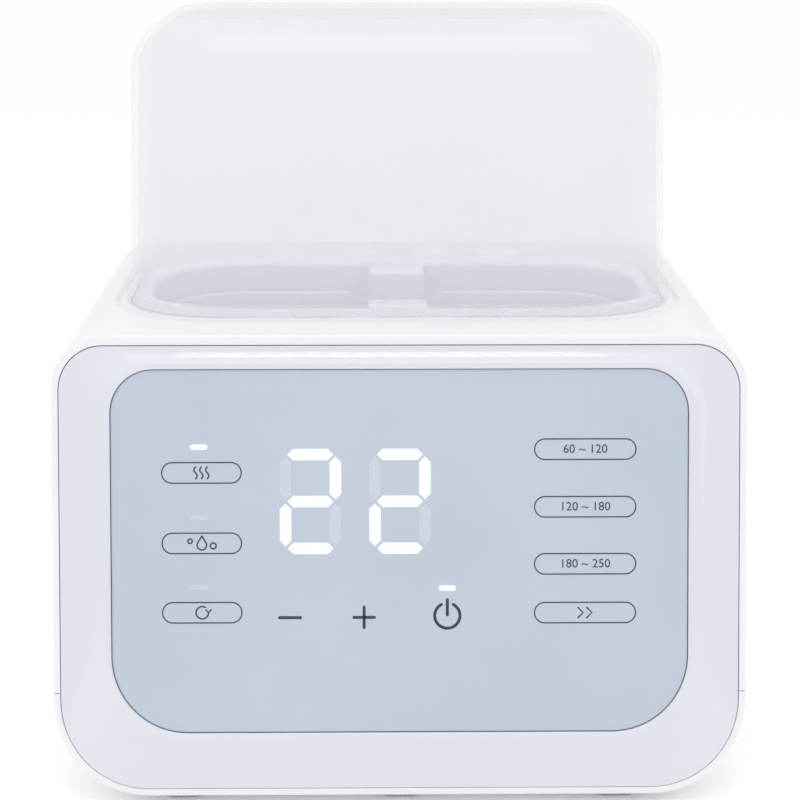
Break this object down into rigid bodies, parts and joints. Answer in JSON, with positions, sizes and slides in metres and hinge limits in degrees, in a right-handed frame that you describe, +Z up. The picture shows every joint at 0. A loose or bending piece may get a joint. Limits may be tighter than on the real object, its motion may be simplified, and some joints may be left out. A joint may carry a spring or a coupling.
{
  "type": "bottle sterilizer",
  "caption": "Boxy white steam sterilizer and warmer for two bottles, with a leaning touch front, a lift-out rack in a deep well and a tall milky lid.",
  "frame": {"origin": "centre of the footprint, on the plane that the feet stand on", "axes": "+Z up, the touch front faces -Y, +X to the right of a person looking at the front"},
  "size_m": [0.19, 0.1855, 0.2088],
  "materials": {
    "white_shell": "moulded white ABS, semi-gloss",
    "pearl_bezel": "glossy cool white ABS",
    "tinted_panel": "back-printed pale blue-grey acrylic",
    "milky_lid": "milky translucent polypropylene",
    "well_plastic": "satin polypropylene",
    "rack_plastic": "satin polypropylene",
    "silicone": "matte silicone rubber",
    "grey_rubber": "matte rubber",
    "heater_aluminium": "machined cast aluminium",
    "zinc_steel": "zinc plated",
    "circuit_board": "green solder mask",
    "black_plastic": "moulded black nylon",
    "led_diffuser": "white light guide",
    "red_wire": "silicone insulated wire",
    "blue_wire": "silicone insulated wire",
    "white_wire": "glass-fibre sleeved wire",
    "blank_label": "satin silver film, left blank"
  },
  "bodies": {
    "housing": {"base_screw_1": "zinc_steel", "base_screw_2": "zinc_steel", "base_screw_3": "zinc_steel", "base_screw_4": "zinc_steel", "board_screw_1": "zinc_steel", "board_screw_2": "zinc_steel", "board_screw_3": "zinc_steel", "board_screw_4": "zinc_steel", "bottom_base": "white_shell", "bracket_screw_1": "zinc_steel", "bracket_screw_2": "zinc_steel", "bracket_screw_3": "zinc_steel", "bracket_screw_4": "zinc_steel", "buzzer": "black_plastic", "control_board": "circuit_board", "control_harness": "white_wire", "digit_display": "black_plastic", "foot_1": "grey_rubber", "foot_2": "grey_rubber", "foot_3": "grey_rubber", "foot_4": "grey_rubber", "foot_5": "grey_rubber", "foot_6": "grey_rubber", "front_bezel": "pearl_bezel", "heater_bracket": "zinc_steel", "heater_lead_left": "white_wire", "heater_lead_right": "white_wire", "heater_plate": "heater_aluminium", "heater_seal": "silicone", "heating_element": "zinc_steel", "indicator_light_1": "led_diffuser", "indicator_light_2": "led_diffuser", "indicator_light_3": "led_diffuser", "indicator_light_4": "led_diffuser", "mains_lead_live": "red_wire", "mains_lead_neutral": "blue_wire", "power_board": "circuit_board", "power_inlet": "black_plastic", "rating_label": "blank_label", "relay": "black_plastic", "temperature_sensor": "zinc_steel", "thermal_fuse": "white_wire", "thermostat": "black_plastic", "touch_pad_1": "silicone", "touch_pad_10": "silicone", "touch_pad_2": "silicone", "touch_pad_3": "silicone", "touch_pad_4": "silicone", "touch_pad_5": "silicone", "touch_pad_6": "silicone", "touch_pad_7": "silicone", "touch_pad_8": "silicone", "touch_pad_9": "silicone", "touch_panel": "tinted_panel", "transformer": "black_plastic", "upper_housing": "white_shell", "water_well": "well_plastic"},
    "lid": {"steam_lid": "milky_lid"},
    "rack": {"bottle_rack": "rack_plastic"}
  },
  "joints": [
    {"name": "lid_lift", "type": "slide", "parent": "housing", "child": "lid", "axis": [0, 0, 1], "range_m": [0, 0.12]},
    {"name": "rack_lift", "type": "slide", "parent": "housing", "child": "rack", "axis": [0, 0, 1], "range_m": [0, 0.068]}
  ]
}
